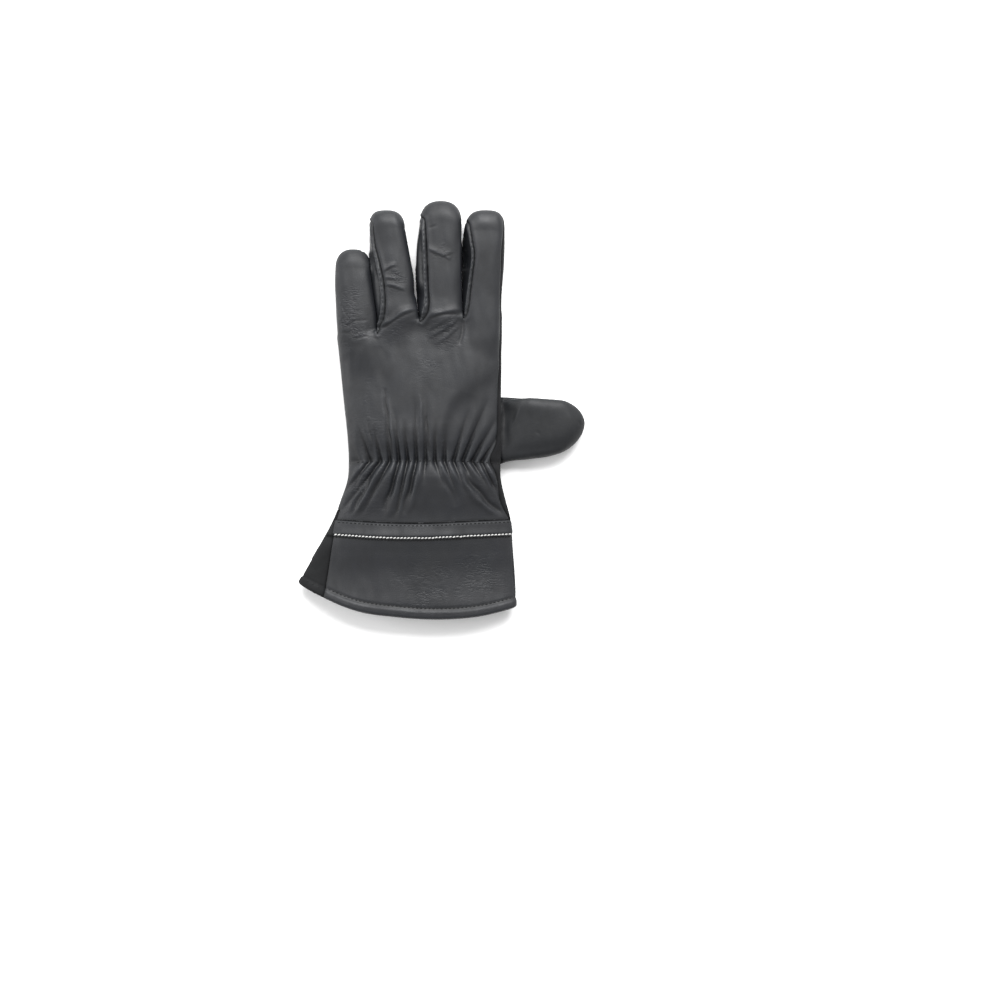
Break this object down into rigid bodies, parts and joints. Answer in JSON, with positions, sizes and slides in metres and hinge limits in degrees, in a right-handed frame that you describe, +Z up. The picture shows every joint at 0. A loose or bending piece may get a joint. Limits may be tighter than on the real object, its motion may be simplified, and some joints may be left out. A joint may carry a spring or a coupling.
{
  "type": "leather outdoor glove",
  "caption": "Left-hand leather work glove with a flared gauntlet cuff, gathered at the wrist, lying palm down with its thumb out to the side, hollow and open at the cuff.",
  "frame": {"origin": "middle of the glove's length and width, on the surface it lies on", "axes": "+X towards the thumb, +Y towards the fingertips, +Z up from the surface it lies on"},
  "size_m": [0.19, 0.2762, 0.0244],
  "materials": {
    "back_leather": "semi-gloss charcoal grained leather",
    "palm_leather": "matte charcoal leather",
    "finger_leather": "semi-gloss charcoal leather",
    "thumb_leather": "satin charcoal leather",
    "gore_leather": "matte charcoal leather"
  },
  "bodies": {
    "root": {"back_panel": "back_leather", "palm_panel": "palm_leather", "ring_finger_front": "finger_leather", "middle_finger_front": "finger_leather", "fourchette_little_ring": "finger_leather", "fourchette_ring_middle": "finger_leather", "fourchette_middle_index": "finger_leather", "thumb": "thumb_leather", "thumb_patch": "thumb_leather", "cuff_band_back": "back_leather", "cuff_back": "back_leather", "cuff_band_palm": "palm_leather", "cuff_palm": "palm_leather", "cuff_gusset": "gore_leather"}
  },
  "joints": []
}
